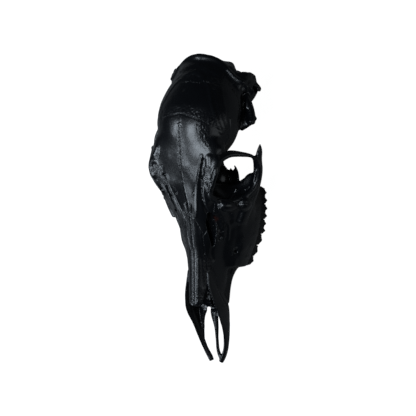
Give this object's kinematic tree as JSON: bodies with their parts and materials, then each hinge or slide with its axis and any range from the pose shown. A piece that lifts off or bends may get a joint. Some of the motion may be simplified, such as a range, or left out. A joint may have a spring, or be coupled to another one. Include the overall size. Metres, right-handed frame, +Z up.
{
  "type": "deer skull",
  "caption": "Deer cranium without lower jaw or antlers, gloss black, with open sutures, cheek teeth and one cheek arch broken through.",
  "frame": {"origin": "centre of the bounding box in X and Y, at the surface the skull lies on", "axes": "+X to the animal's left, +Y from the nose towards the back of the head, +Z up from the surface towards the forehead"},
  "size_m": [0.1012, 0.2526, 0.0914],
  "materials": {
    "nasal_left": "black gloss lacquer over bone",
    "nasal_right": "black gloss lacquer over bone",
    "frontal_left": "black gloss lacquer over bone",
    "frontal_right": "black gloss lacquer over bone",
    "parietal": "black gloss lacquer over bone",
    "premaxilla_left": "black gloss lacquer over bone",
    "premaxilla_right": "black gloss lacquer over bone",
    "lacrimal_left": "black gloss lacquer over bone",
    "lacrimal_right": "black gloss lacquer over bone",
    "zygomatic_left": "black gloss lacquer over bone",
    "zygomatic_right": "black gloss lacquer over bone",
    "maxilla_left": "black gloss lacquer over bone",
    "maxilla_right": "black gloss lacquer over bone",
    "temporal_left": "black gloss lacquer over bone",
    "temporal_right": "black gloss lacquer over bone",
    "occipital": "black gloss lacquer over bone",
    "palatine_and_sphenoid": "black gloss lacquer over bone"
  },
  "bodies": {
    "root": {"nasal_left": "nasal_left", "nasal_right": "nasal_right", "frontal_left": "frontal_left", "frontal_right": "frontal_right", "parietal": "parietal", "premaxilla_left": "premaxilla_left", "premaxilla_right": "premaxilla_right", "lacrimal_left": "lacrimal_left", "lacrimal_right": "lacrimal_right", "zygomatic_left": "zygomatic_left", "zygomatic_right": "zygomatic_right", "maxilla_left": "maxilla_left", "maxilla_right": "maxilla_right", "temporal_left": "temporal_left", "temporal_right": "temporal_right", "occipital": "occipital", "palatine_and_sphenoid": "palatine_and_sphenoid"}
  },
  "joints": []
}
